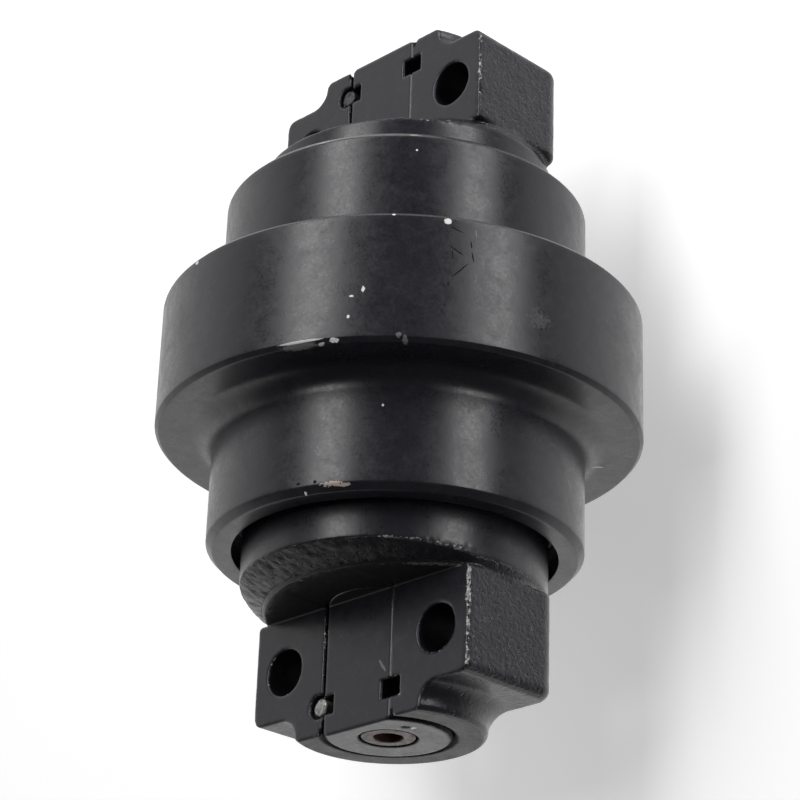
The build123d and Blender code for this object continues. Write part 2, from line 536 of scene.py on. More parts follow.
class Shader:
    """Material under construction: short calls for the few node kinds that the finishes use."""

    def __init__(self, name: str) -> None:
        """Starts an empty material with one principled shader.

        Args:
            name: Name of the material.
        """
        self.material = bpy.data.materials.new(name)
        self.material.use_nodes = True
        self.tree = self.material.node_tree
        self.tree.nodes.clear()
        self.surface = self.tree.nodes.new("ShaderNodeBsdfPrincipled")
        output = self.tree.nodes.new("ShaderNodeOutputMaterial")
        self.tree.links.new(self.surface.outputs[0], output.inputs["Surface"])
        self.place = self.tree.nodes.new("ShaderNodeTexCoord").outputs["Object"]

    def feed(self, socket: bpy.types.NodeSocket, value: object) -> None:
        """Links a socket or sets its value.

        Args:
            socket: Input of a node.
            value: Socket, number, or colour or vector as a tuple.
        """
        if isinstance(value, bpy.types.NodeSocket):
            self.tree.links.new(value, socket)
        elif isinstance(value, tuple) and len(value) == 3 and socket.type == "RGBA":
            socket.default_value = (*value, 1.0)
        else:
            socket.default_value = value

    def add(self, kind: str, inputs: dict | None = None, **settings: object) -> bpy.types.Node:
        """Adds a node.

        Args:
            kind: Node type name.
            inputs: Values or sockets for its inputs, by name or number.
            **settings: Properties of the node.

        Returns:
            The node.
        """
        node = self.tree.nodes.new(kind)
        for key, value in settings.items():
            setattr(node, key, value)
        for key, value in (inputs or {}).items():
            self.feed(node.inputs[key], value)
        return node

    def trait(self, name: str) -> bpy.types.NodeSocket:
        """Value of a surface trait of the mesh."""
        return self.add("ShaderNodeAttribute", attribute_name=name).outputs["Fac"]

    def math(self, operation: str, *values: object) -> bpy.types.NodeSocket:
        """Result of one arithmetic step."""
        return self.add("ShaderNodeMath", dict(enumerate(values)), operation=operation).outputs[0]

    def noise(
        self, grain: float, detail: float = 2.0, where: object = None, warp: float = 0.0
    ) -> bpy.types.NodeSocket:
        """Noise value.

        Args:
            grain: Size of its features in metres.
            detail: Levels of finer noise laid over it.
            where: Coordinates, those of the piece if not given.
            warp: How far the pattern is twisted.

        Returns:
            The noise value.
        """
        place = where or self.place
        inputs = {"Vector": place, "Scale": 1 / grain, "Detail": detail, "Distortion": warp}
        return self.add("ShaderNodeTexNoise", inputs).outputs["Fac"]

    def spots(self, grain: float, where: object = None) -> bpy.types.Node:
        """Cell pattern about `grain` metres across."""
        return self.add("ShaderNodeTexVoronoi", {"Vector": where or self.place, "Scale": 1 / grain})

    def remap(
        self, value: object, low: float, high: float, to_low: float = 0.0, to_high: float = 1.0
    ) -> bpy.types.NodeSocket:
        """Stretches a value range onto another one, with the ends held."""
        inputs = {0: value, 1: low, 2: high, 3: to_low, 4: to_high}
        return self.add("ShaderNodeMapRange", inputs).outputs[0]

    def blend(self, share: object, first: object, second: object) -> bpy.types.NodeSocket:
        """Mixes two colours.

        Args:
            share: Share of the second colour.
            first: First colour.
            second: Second colour.

        Returns:
            The mixed colour.
        """
        node = self.add("ShaderNodeMix", {0: share}, data_type="RGBA")
        self.feed(node.inputs[6], first)
        self.feed(node.inputs[7], second)
        return node.outputs[2]

    def bump(self, height: object, depth: float, under: object = None) -> bpy.types.NodeSocket:
        """Relief of the given depth in metres laid over another relief.

        Args:
            height: Relief height.
            depth: Height of one unit of relief.
            under: Normal of the relief below.

        Returns:
            The normal.
        """
        inputs = {"Height": height, "Distance": depth, "Strength": 1.0}
        if under is not None:
            inputs["Normal"] = under
        return self.add("ShaderNodeBump", inputs).outputs["Normal"]

    def set(self, **values: object) -> None:
        """Sets inputs of the principled shader; underscores stand for spaces."""
        for key, value in values.items():
            self.feed(self.surface.inputs[key.replace("_", " ")], value)


class Damage(Enum):
    """Kinds of single mark; the value is the colour that shows."""

    SCRATCH = (0.006, 0.006, 0.007)
    SCUFF = (0.150, 0.147, 0.145)
    PRIMER = (0.55, 0.46, 0.41)
    BARE = (0.72, 0.72, 0.71)


@dataclass(frozen=True)
class Mark:
    """One knock in the paint: where it is, how large, and how it lies.

    The angle runs about the roller axis from +Z towards +X. Sizes are half lengths in millimetres
    round the roller, along its axis and into the surface.
    """

    kind: Damage
    angle: float
    radius: float
    station: float
    around: float
    along: float
    tilt: float = 0.0
    ragged: float = 0.5
    share: float = 1.0
    deep: float = 3.0

    def place(self) -> tuple[Vector, Vector, Vector]:
        """Centre, rotation and half sizes of the ellipsoid that holds the mark.

        Returns:
            The three vectors, in metres and radians.
        """
        turn = math.radians(self.angle)
        centre = Vector((math.sin(turn) * self.radius, self.station, math.cos(turn) * self.radius)) * MM
        pose = Matrix.Rotation(turn, 3, "Y") @ Matrix.Rotation(math.radians(self.tilt), 3, "Z")
        return centre, Vector(pose.to_euler("XYZ")), Vector((self.around, self.along, self.deep)) * MM


@dataclass(frozen=True)
class BlackPaint:
    """Satin black paint over steel, with grain, dust, scratches, worn edges, single knocks and painted
    shade.
    """

    name: str
    tone: Colour = (0.0138, 0.0132, 0.0184)
    gloss_roughness: float = 0.33
    peel: float = 0.000016
    turned: float = 0.0
    cast: float = 0.0
    edge_wear: float = 0.5
    speckle: float = 0.975
    marks: tuple[Mark, ...] = ()
    bare_tone: Colour = (0.60, 0.59, 0.57)
    primer_tone: Colour = (0.16, 0.15, 0.145)
    # Near-black colour of the painted shade.
    painted_shade_tone: Colour = (0.006, 0.006, 0.006)

    def knocks(self, sh: Shader, kind: Damage) -> bpy.types.NodeSocket | None:
        """Share of the surface that the single marks of one kind lay open.

        Args:
            sh: Material under construction.
            kind: Kind of mark.

        Returns:
            The share, or None if there are no marks of the kind.
        """
        total = None
        rough = sh.math("SUBTRACT", sh.noise(0.0009, 4.0), 0.5)
        for mark in (m for m in self.marks if m.kind is kind):
            centre, turn, half = mark.place()
            local = sh.add("ShaderNodeMapping", {"Vector": sh.place}, vector_type="TEXTURE")
            for socket, value in (("Location", centre), ("Rotation", turn), ("Scale", half)):
                local.inputs[socket].default_value = value
            length = sh.add("ShaderNodeVectorMath", {0: local.outputs[0]}, operation="LENGTH")
            reach = length.outputs["Value"]
            rim = sh.math("MULTIPLY_ADD", rough, 3.2 * mark.ragged, reach)
            share = sh.remap(rim, 1.05, 0.85, 0.0, mark.share)
            total = share if total is None else sh.math("MAXIMUM", total, share)
        return total

    def wear(self, sh: Shader) -> bpy.types.NodeSocket:
        """Share of bare surface: small random specks and worn edges.

        Args:
            sh: Material under construction.

        Returns:
            The share of bare surface.
        """
        cells = sh.spots(0.0085)
        near = sh.remap(cells.outputs["Distance"], 0.050, 0.028)
        pick = sh.add("ShaderNodeSeparateColor", {0: cells.outputs["Color"]}).outputs[0]
        speck = sh.math("MULTIPLY", near, sh.math("GREATER_THAN", pick, self.speckle))
        fine = sh.math("MULTIPLY", sh.noise(0.0012, 5.0), 0.70)
        gnaw = sh.math("MULTIPLY_ADD", sh.noise(0.011, 3.0), 0.60, fine)
        edge = sh.math("MULTIPLY", sh.trait("edge"), self.edge_wear)
        worn = sh.remap(sh.math("ADD", gnaw, edge), 0.95, 1.0)
        worn = sh.math("MULTIPLY", worn, sh.remap(sh.trait("edge"), 0.04, 0.14))
        return sh.math("MAXIMUM", speck, worn)

    def ring_place(self, sh: Shader) -> bpy.types.NodeSocket:
        """Coordinates that run along the outline of a turned piece and hardly change round it.

        Args:
            sh: Material under construction.

        Returns:
            The coordinates.
        """
        part = sh.add("ShaderNodeSeparateXYZ", {0: sh.place})
        x, y, z = part.outputs
        radius = sh.math("SQRT", sh.math("ADD", sh.math("MULTIPLY", x, x), sh.math("MULTIPLY", z, z)))
        angle = sh.math("MULTIPLY", sh.math("ARCTAN2", x, z), 0.0006)
        return sh.add("ShaderNodeCombineXYZ", {0: radius, 1: y, 2: angle}).outputs[0]

    def relief(self, sh: Shader, bare: bpy.types.NodeSocket) -> bpy.types.NodeSocket:
        """Orange peel, turning lines, casting grain and the step at each chip.

        Args:
            sh: Material under construction.
            bare: Share of surface that is bare.

        Returns:
            The normal.
        """
        normal = sh.bump(sh.noise(0.0009, 3.0), self.peel)
        normal = sh.bump(sh.noise(0.012, 3.0), self.peel * 4.5, normal)
        if self.turned > 0:
            normal = sh.bump(sh.noise(0.0007, 3.0, self.ring_place(sh)), self.turned, normal)
        if self.cast > 0:
            pebble = sh.math("MULTIPLY_ADD", sh.noise(0.0062, 2.0), 0.6, sh.noise(0.0014, 4.0))
            pit = sh.remap(sh.noise(0.0017, 1.0), 0.62, 0.74, 0.0, -0.75)
            rough = sh.math("MULTIPLY", sh.math("ADD", pebble, pit), sh.trait("cast"))
            normal = sh.bump(rough, self.cast, normal)
        return sh.bump(sh.math("SUBTRACT", 1.0, bare), 0.00010, normal)

    def tints(self, sh: Shader) -> bpy.types.NodeSocket:
        """Paint colour with faint clouds and dust.

        Args:
            sh: Material under construction.

        Returns:
            The colour.
        """
        cloud = sh.remap(sh.noise(0.022, 4.0), 0.3, 0.75)
        dust = sh.remap(sh.noise(0.0035, 6.0, warp=0.6), 0.52, 0.80)
        pale = tuple(c * 1.7 + 0.003 for c in self.tone)
        dark = tuple(c * 0.80 for c in self.tone)
        colour = sh.blend(cloud, dark, self.tone)
        return sh.blend(sh.math("MULTIPLY", dust, 0.6), colour, pale)

    def build(self) -> bpy.types.Material:
        """Makes the material.

        Returns:
            The material.
        """
        sh = Shader(self.name)
        worn = self.wear(sh)
        colour = self.tints(sh)
        metal = sh.blend(sh.remap(sh.noise(0.0008, 4.0), 0.35, 0.7), self.primer_tone, self.bare_tone)
        colour = sh.blend(worn, colour, metal)
        # Painted shade: the trait read here darkens the colour towards near black, dulls the specular
        # and roughens the coat where shade falls.
        grime = sh.trait("grime")
        bare, dull = worn, grime
        for kind in Damage:
            share = self.knocks(sh, kind)
            if share is None:
                continue
            colour = sh.blend(share, colour, kind.value)
            if kind is Damage.SCRATCH:
                dull = sh.math("MAXIMUM", dull, share)
            if kind is not Damage.SCUFF:
                bare = sh.math("MAXIMUM", bare, share)
        colour = sh.blend(grime, colour, self.painted_shade_tone)
        smear = sh.remap(sh.noise(0.0085, 5.0, warp=1.2), 0.35, 0.75, -0.04, 0.065)
        fine = sh.remap(sh.noise(0.0010, 4.0), 0.3, 0.7, -0.05, 0.05)
        rough = sh.math("ADD", sh.math("ADD", smear, self.gloss_roughness), fine)
        sh.set(
            Base_Color=colour,
            Roughness=sh.math("MULTIPLY_ADD", sh.math("MAXIMUM", bare, grime), 0.25, rough),
            Metallic=sh.math("MULTIPLY", worn, 0.6),
            Specular_IOR_Level=sh.remap(dull, 0.0, 1.0, 0.5, 0.08),
            Normal=self.relief(sh, bare),
            IOR=1.5,
        )
        return sh.material


@dataclass(frozen=True)
class PlainMetal:
    """Unpainted metal with drawn or turned grain and a little tarnish."""

    name: str
    tone: Colour
    tarnish: Colour
    roughness: float = 0.34
    metallic: float = 1.0

    def build(self) -> bpy.types.Material:
        """Makes the material.

        Returns:
            The material.
        """
        sh = Shader(self.name)
        stain = sh.remap(sh.noise(0.0022, 5.0, warp=0.8), 0.42, 0.72)
        fine = sh.noise(0.0004, 3.0)
        colour = sh.blend(stain, self.tone, self.tarnish)
        rough = sh.math("ADD", sh.remap(stain, 0.0, 1.0, 0.0, 0.22), self.roughness)
        rough = sh.math("ADD", rough, sh.remap(fine, 0.3, 0.7, -0.05, 0.05))
        normal = sh.bump(fine, 0.000018)
        normal = sh.bump(sh.noise(0.0025, 3.0), 0.00006, normal)
        sh.set(Base_Color=colour, Roughness=rough, Metallic=self.metallic, Normal=normal)
        return sh.material


@dataclass(frozen=True)
class MouldedRubber:
    """Black sealing rubber with a dull moulded skin."""

    name: str = "sealing_rubber"
    tone: Colour = (0.018, 0.018, 0.019)

    def build(self) -> bpy.types.Material:
        """Makes the material.

        Returns:
            The material.
        """
        sh = Shader(self.name)
        bloom = sh.remap(sh.noise(0.004, 4.0), 0.4, 0.75)
        pale = tuple(c * 2.2 for c in self.tone)
        rough = sh.remap(sh.noise(0.0015, 4.0), 0.3, 0.7, 0.55, 0.78)
        skin = sh.bump(sh.noise(0.0006, 3.0), 0.00002)
        sh.set(Base_Color=sh.blend(bloom, self.tone, pale), Roughness=rough, Normal=skin)
        return sh.material


@dataclass(frozen=True)
class PaleFloor:
    """Matt pale acrylic under the roller, faintly lit from below."""

    name: str = "pale_floor"
    tone: Colour = (0.90, 0.90, 0.905)
    glow: float = 0.45

    def build(self) -> bpy.types.Material:
        """Makes the material.

        Returns:
            The material.
        """
        sh = Shader(self.name)
        shade = sh.remap(sh.noise(0.4, 2.0), 0.3, 0.7)
        warm = tuple(c * 0.985 for c in self.tone)
        sh.set(Base_Color=sh.blend(shade, self.tone, warm), Roughness=0.9, Specular_IOR_Level=0.1)
        sh.set(Emission_Color=self.tone, Emission_Strength=self.glow)
        return sh.material


# ---------------------------------------------------------------- pieces


def dress(piece: bpy.types.Object, material: bpy.types.Material) -> None:
    """Gives a piece one material."""
    piece.data.materials.clear()
    piece.data.materials.append(material)


def stand_for(piece: bpy.types.Object, body: str, node: str) -> None:
    """Makes a built piece take the place of a node and ride with its body.

    Args:
        piece: The built piece.
        body: Body that it rides on.
        node: Node that it stands for.
    """
    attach(piece, body)
    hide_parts(node)
    LOG.info("%s: %d faces", piece.name, len(piece.data.polygons))


@dataclass
class RollerShell:
    """Forged and turned shell: centre flange, two treads and the recessed ends."""

    body: str = "roller"
    flange_half: float = 22.7
    flange_chamfer: float = 1.4
    flange_fillet: float = 7.5
    tread_r: float = 63.0
    tread_chamfer: float = 2.2
    recess_r: float = 54.3
    recess_floor: float = 52.0
    seat_r: float = 43.0
    seat_floor_r: float = 41.8
    seat_floor: float = 40.0
    bush_r: float = 25.0
    reservoir_r: float = 30.0
    reservoir_half: float = 10.0
    flange_r: float = field(default_factory=lambda: radius_of("roller_shell"))
    half_length: float = field(default_factory=lambda: reach_of("roller_shell"))

    def half_outline(self) -> list[Corner]:
        """Corners of the far half, from the middle of the flange rim round to the reservoir.

        Returns:
            The corners in order.
        """
        return [
            Corner(self.flange_r, self.flange_half - self.flange_chamfer, 0.7),
            Corner(self.flange_r - self.flange_chamfer, self.flange_half, 0.7),
            Corner(self.tread_r, self.flange_half, self.flange_fillet),
            Corner(self.tread_r, self.half_length - self.tread_chamfer, 1.2),
            Corner(self.tread_r - self.tread_chamfer, self.half_length, 0.9),
            Corner(self.recess_r, self.half_length, 0.4),
            Corner(self.recess_r, self.recess_floor, 0.5),
            Corner(self.seat_r, self.recess_floor, 0.3),
            Corner(self.seat_floor_r, self.seat_floor, 0.5),
            Corner(self.bush_r, self.seat_floor),
            Corner(self.bush_r, self.reservoir_half),
            Corner(self.reservoir_r, self.reservoir_half),
        ]

    def corners(self) -> list[Corner]:
        """Closed outline: the far half and its mirror image.

        Returns:
            The corners in order.
        """
        far = self.half_outline()
        near = [Corner(c.radius, -c.station, c.rounding) for c in reversed(far)]
        return far + near

    def nick(self, skin: Skin, seed: int = 11) -> None:
        """Dents the convex edges inwards a little, at random places.

        Args:
            skin: Surface that is changed.
            seed: Start of the random field.
        """
        noise = SolidNoise(seed)
        small = np.clip(noise(skin.points, 2.6) - 0.62, 0, 1)
        large = np.clip(noise(skin.points + 50, 17.0) - 0.25, 0, 1)
        depth = 1.9 * (small * large) * skin.traits["edge"]
        skin.points -= skin.normals() * depth[:, None]

    def build(self) -> bpy.types.Object:
        """Turns the shell and puts it on its body.

        Returns:
            The painted shell.
        """
        skin = Lathe(self.corners(), segments=900, pitch=1.4).skin()
        self.nick(skin)
        piece = skin.to_object("painted_roller_shell")
        stand_for(piece, self.body, "roller_shell")
        return piece

    def chips(self) -> list[Mark]:
        """Places where the paint has come off down to metal or primer.

        Returns:
            The marks.
        """
        rim, tread = self.flange_r, self.tread_r
        bare, primer = Damage.BARE, Damage.PRIMER
        return [
            Mark(bare, 22.9, rim, -21.35, 7.7, 0.40, tilt=0.8, ragged=0.15),
            Mark(bare, 27.3, rim - 1.4, -22.9, 1.9, 0.5, tilt=25.0, ragged=0.4, share=0.7, deep=1.0),
            Mark(bare, 30.7, rim, -21.9, 1.5, 0.7),
            Mark(bare, 36.8, rim, -5.0, 0.55, 1.1),
            Mark(bare, 34.4, rim, -7.2, 0.8, 0.4),
            Mark(bare, 33.8, rim, -14.2, 0.5, 0.6),
            Mark(bare, 54.9, rim, 20.2, 1.25, 1.1, ragged=0.15),
            Mark(bare, -10.2, rim, 20.5, 1.0, 0.6),
            Mark(bare, 42.9, rim, 21.6, 0.6, 0.5),
            Mark(bare, 145.6, 69.3, -self.flange_half, 0.6, 1.0),
            Mark(bare, 40.9, tread, -36.0, 0.4, 0.5),
            Mark(bare, 18.0, tread - 1.2, -63.5, 0.4, 0.55),
            Mark(bare, 48.2, tread, 56.6, 0.45, 0.4),
            Mark(primer, 27.0, tread, -61.9, 3.4, 0.75, ragged=1.0, share=0.85),
            Mark(primer, 30.4, tread, -62.4, 2.6, 0.45, ragged=0.9, share=0.8),
            Mark(primer, 18.3, tread, 62.6, 2.2, 0.5, share=0.7),
            Mark(primer, 47.4, tread, 62.8, 2.0, 0.5, share=0.6),
        ]

    def scuffs(self) -> list[Mark]:
        """Grey rubs and dark scratches.

        Returns:
            The marks.
        """
        rim, tread = self.flange_r, self.tread_r
        scuff, scratch = Damage.SCUFF, Damage.SCRATCH
        return [
            Mark(scuff, 22.5, rim - 1.2, -22.5, 6.2, 1.4, ragged=0.4, share=0.9, deep=2.2),
            Mark(scuff, 44.9, rim, -20.8, 0.9, 0.9, share=0.8),
            Mark(scuff, 46.4, rim - 0.4, -22.3, 0.8, 1.7, tilt=20.0, share=0.8),
            Mark(scuff, 77.3, rim, -8.0, 3.4, 2.4, ragged=1.6, share=0.22),
            Mark(scratch, 57.9, rim, 3.2, 3.7, 0.22, tilt=47.0, ragged=0.25),
            Mark(scratch, 56.8, rim, 17.6, 2.5, 0.20, tilt=-22.0, ragged=0.3),
            Mark(scratch, 57.1, rim, 10.0, 2.7, 0.25, tilt=-32.0, ragged=0.3),
            Mark(scratch, 56.1, rim, 8.5, 1.9, 0.18, tilt=-84.0, ragged=0.3),
            Mark(scratch, 60.7, rim, 8.6, 1.8, 0.22, tilt=-78.0, ragged=0.3),
            Mark(scratch, 55.3, rim, -2.1, 1.1, 0.20, tilt=-89.0, ragged=0.3),
            Mark(scratch, 60.3, rim, 12.8, 1.1, 0.20, tilt=-80.0, ragged=0.3),
            Mark(scuff, 61.4, rim, 17.0, 1.4, 0.25, tilt=-82.0, ragged=0.3, share=0.6),
            Mark(scratch, 16.2, tread, -60.6, 0.9, 0.35),
            Mark(scratch, 21.7, tread, -60.8, 0.6, 0.5),
        ]

    def dress(self, piece: bpy.types.Object) -> None:
        """Paints the shell.

        Args:
            piece: The shell.
        """
        marks = tuple(self.chips() + self.scuffs())
        paint = BlackPaint("shell_black_paint", turned=0.0000035, edge_wear=0.16, marks=marks)
        dress(piece, paint.build())


@dataclass
class EndCollar:
    """Cast end collar with its milled mounting faces."""

    end: End
    body: str = "axle_assembly"
    disc_in: float = 52.6
    wall: float = 81.0
    bore_r: float = 21.03
    bevel_start: float = 75.3
    bevel_r: float = 52.2
    bevel_drop: float = 0.9
    wall_arc_r: float = 57.0
    wall_arc_drop: float = 17.0
    lug_half: float = 49.0
    lug_half_tall: float = 45.0
    lug_rear: float = -27.0
    lug_end: float = 116.4
    lug_end_edge: float = 3.5
    lug_rear_edge: float = 7.0
    boss_r: float = 32.2
    boss_edge: float = 2.2
    web: float = 6.5
    hub_r: float = 30.0
    hub_start: float = 44.35
    hub_end: float = 76.0
    seam_left: float = -16.0
    seam_right: float = 15.25
    seam_floor: float = 11.2
    notch_start: float = 11.0
    notch_end: float = 19.4
    notch_floor: float = 2.0
    notch_half: float = 3.1
    cavity_start: float = 32.6
    cavity_end: float = 61.2
    cavity_r: float = 42.4
    pin_x: float = -17.7
    pin_y: float = 115.0
    pin_hole_r: float = 3.05
    pin_foot: float = -19.0
    pin_sink_r: float = 4.0
    pin_sink_floor: float = 12.8
    bore_chamfer: float = 1.5
    disc_r: float = field(default_factory=lambda: radius_of("far_collar"))
    boss_end: float = field(default_factory=lambda: reach_of("far_collar"))

    @property
    def face_z(self) -> float:
        """Height of the mounting faces."""
        return mount("mounting_bolts")["pos_m"][2] / MM

    def disc(self, x: np.ndarray, y: np.ndarray, z: np.ndarray) -> np.ndarray:
        """Round closing disc with its cast front bevel.

        Args:
            x: Positions across the bolt rows.
            y: Positions along the axis.
            z: Heights.

        Returns:
            The distance field, negative inside.
        """
        rim = np.hypot(x, z) - self.disc_r
        share = (y - self.bevel_start) / (self.wall - self.bevel_start)
        arc_r = self.bevel_r + share * (self.wall_arc_r - self.bevel_r)
        drop = self.bevel_drop + share * (self.wall_arc_drop - self.bevel_drop)
        skirt = (np.hypot(x, z + drop) - arc_r) * 0.42
        rim = round_common(rim, np.minimum(skirt, y - self.bevel_start), 0.5)
        rim = round_common(rim, y - self.wall, 4.0)
        return round_common(rim, self.disc_in - y, 0.5)

    def lug(self, x: np.ndarray, y: np.ndarray, z: np.ndarray) -> np.ndarray:
        """Rectangular bolting block, left tall so that the milling cut forms its face.

        Args:
            x: Positions across the bolt rows.
            y: Positions along the axis.
            z: Heights.

        Returns:
            The distance field, negative inside.
        """
        middle = self.lug_rear + self.lug_half_tall
        plan = bar(x, z - middle, self.lug_half, self.lug_half_tall, self.lug_rear_edge)
        block = round_common(plan, y - self.lug_end, self.lug_end_edge)
        return round_common(block, self.wall - y, 1.0)

    def boss(self, x: np.ndarray, y: np.ndarray, z: np.ndarray) -> np.ndarray:
        """Round boss that holds the shaft end.

        Args:
            x: Positions across the bolt rows.
            y: Positions along the axis.
            z: Heights.

        Returns:
            The distance field, negative inside.
        """
        side = np.hypot(x, z) - self.boss_r
        return np.maximum(round_common(side, y - self.boss_end, self.boss_edge), self.disc_in - y)

    def holes(self, x: np.ndarray, y: np.ndarray, z: np.ndarray, solid: np.ndarray) -> np.ndarray:
        """Cuts the bore, the seams beside the flats, the bolt holes, the pin hole and the notch.

        Args:
            x: Positions across the bolt rows.
            y: Positions along the axis.
            z: Heights.
            solid: Field of the collar before it is cut.

        Returns:
            The distance field, negative inside.
        """
        bolts = mount("mounting_bolts")["dims"]
        far_x, far_y = bolts["spacing_x_mm"] / 2, bolts["spacing_y_mm"] / 2
        radius = np.hypot(x, z)
        mouth = (radius - y + self.boss_end - self.bore_r - self.bore_chamfer) * math.sqrt(0.5)
        solid = round_cut(solid, np.minimum(radius - self.bore_r, mouth), 0.15)
        across = between(x, self.seam_left, self.seam_right)
        seam = np.maximum(np.maximum(across, self.seam_floor - z), self.wall - y)
        solid = round_cut(solid, seam, 0.22)
        solid = round_cut(solid, np.hypot(np.abs(x) - far_x, y - far_y) - bolts["hole_r_mm"], 0.45)
        pin = np.hypot(x - self.pin_x, y - self.pin_y)
        hole = np.maximum(pin - self.pin_hole_r, self.pin_foot - z)
        sink = np.maximum(pin - self.pin_sink_r, self.pin_sink_floor - z)
        solid = round_cut(solid, np.minimum(hole, sink), 0.3)
        across = between(x, self.notch_start, self.notch_end)
        along = np.abs(y - self.pin_y) - self.notch_half
        notch = np.maximum(across, np.maximum(along, self.notch_floor - z))
        return round_cut(solid, notch, 0.3)

    def solid(self, x: np.ndarray, y: np.ndarray, z: np.ndarray) -> np.ndarray:
        """Distance field of the whole far collar.

        Args:
            x: Positions across the bolt rows.
            y: Positions along the axis.
            z: Heights.

        Returns:
            The distance field, negative inside.
        """
        radius = np.hypot(x, z)
        body = round_union(self.lug(x, y, z), self.boss(x, y, z), self.web)
        body = round_union(body, self.disc(x, y, z), 2.0)
        milled = np.maximum(self.face_z - z, self.wall - y)
        body = round_cut(body, milled, 0.45)
        hub = np.maximum(radius - self.hub_r, between(y, self.hub_start, self.hub_end))
        body = np.minimum(body, hub)
        ring = between(radius, self.hub_r, self.cavity_r)
        cavity = np.maximum(ring, between(y, self.cavity_start, self.cavity_end))
        body = np.maximum(body, -cavity)
        return self.holes(x, y, z, body)

    def traits(self, skin: Skin, normals: np.ndarray) -> None:
        """Marks which parts of the surface are as cast rather than machined, and where shade is painted
        on.

        Args:
            skin: Surface of the far collar.
            normals: Its unit normals.
        """
        x, y, z = skin.points.T
        radius = np.hypot(x, z)
        milled_face = (z > self.face_z - 0.3) & (y > self.wall - 1)
        milled_wall = (normals[:, 1] > 0.97) & (np.abs(y - self.wall) < 0.6) & (z > self.face_z - 1)
        turned = ((radius > self.disc_r - 0.3) & (y < self.wall + 0.5)) | (y < self.disc_in + 0.6)
        bored = radius < self.bore_r + 1.6
        bolts = mount("mounting_bolts")["dims"]
        to_bolt = np.hypot(np.abs(x) - bolts["spacing_x_mm"] / 2, y - bolts["spacing_y_mm"] / 2)
        drilled = to_bolt < bolts["hole_r_mm"] + 0.3
        end_face = (normals[:, 1] > 0.97) & (y > self.boss_end - 0.3)
        beside = (x > self.seam_left - 0.3) & (x < self.seam_right + 0.3)
        seam = beside & (z > self.seam_floor - 0.3) & (y > self.wall)
        machined = milled_face | milled_wall | turned | bored | drilled | end_face | seam
        web = (y > self.lug_end - 0.5) & (radius > self.bore_r + 1)
        skin.traits["cast"] = np.where(machined, 0.0, np.where(web, 0.45, 1.0))
        # Painted shade: full in the groove at the bore mouth and down in the seams; up to 0.45 on the
        # front bevel and wall, darker towards +X; 0.42 over the boss end face.
        groove = (radius < self.bore_r + self.bore_chamfer + 0.1) & (y > self.boss_end - 2.5)
        front = (y > self.bevel_start + 0.3) & (y < self.wall + 0.3) & (z > self.face_z - 3)
        wall_shade = 0.45 * np.clip((x + 42) / 26, 0, 1) * front
        wall_shade = np.where(end_face, 0.42, wall_shade)
        sunk = groove | (seam & (z < self.face_z - 0.8))
        skin.traits["grime"] = np.where(sunk, 1.0, wall_shade)
        on_face = (z > self.face_z - 3) & (y > self.wall + 1)
        scarred = (x > 24) & (y > self.bevel_start - 1) & (y < self.wall + 1) & (z > self.face_z - 2)
        rims = to_bolt < bolts["hole_r_mm"] + 1.5
        closed = (np.abs(x - self.seam_right) < 1.3) & (z > self.seam_floor - 0.3) & (y > self.wall)
        zones = [closed, scarred, rims, seam, on_face]
        skin.traits["edge"] *= np.select(zones, [0.0, 0.8, 1.05, 0.95, 0.8], 0.35)
        to_lip = np.hypot(x - self.lug_half, z - self.face_z)
        lip = 0.33 * np.clip(1.6 - to_lip / 1.2, 0, 1) * (y > self.wall)
        skin.traits["edge"] = np.maximum(skin.traits["edge"], lip)

    def roughen(self, skin: Skin, normals: np.ndarray) -> None:
        """Sinks the cast skin unevenly, roughest on the front bevel, and batters the sharp edges.

        Args:
            skin: Surface of the far collar.
            normals: Its unit normals.
        """
        noise = SolidNoise(23 + self.end.value)
        x, y, z = skin.points.T
        cast = skin.traits["cast"]
        pebble = 0.6 * noise(skin.points, 1.9) + 0.4 * noise(skin.points + 31, 4.5)
        bevel = np.clip((y - self.bevel_start + 1) / 2, 0, 1)
        bevel = bevel * (y < self.wall + 0.2) * (z > self.face_z - 3)
        depth = cast * (0.15 + 0.75 * bevel) * np.clip(pebble - 0.25, 0, 1)
        depth += 1.6 * skin.traits["edge"] * np.clip(noise(skin.points + 7, 1.6) - 0.35, 0, 1)
        skin.points -= normals * depth[:, None]

    def build(self) -> bpy.types.Object:
        """Moulds the collar and puts it on its body.

        Returns:
            The painted collar.
        """
        low = (-self.disc_r, self.hub_start, -self.disc_r)
        high = (self.disc_r, self.boss_end, self.disc_r)
        moulder = Moulder(self.solid, low, high, pitch=0.62)
        skin = moulder.skin()
        normals = skin.normals()
        self.traits(skin, normals)
        self.roughen(skin, normals)
        if self.end is End.NEAR:
            skin = skin.mirrored()
        piece = skin.to_object(f"painted_{self.end.word}_collar")
        stand_for(piece, self.body, f"{self.end.word}_collar")
        return piece

    def dress(self, piece: bpy.types.Object) -> None:
        """Paints the collar.

        Args:
            piece: The collar.
        """
        wear = 1.0 if self.end is End.NEAR else 0.72
        paint = BlackPaint(f"{self.end.word}_collar_black_paint", cast=0.00026, edge_wear=wear)
        dress(piece, paint.build())


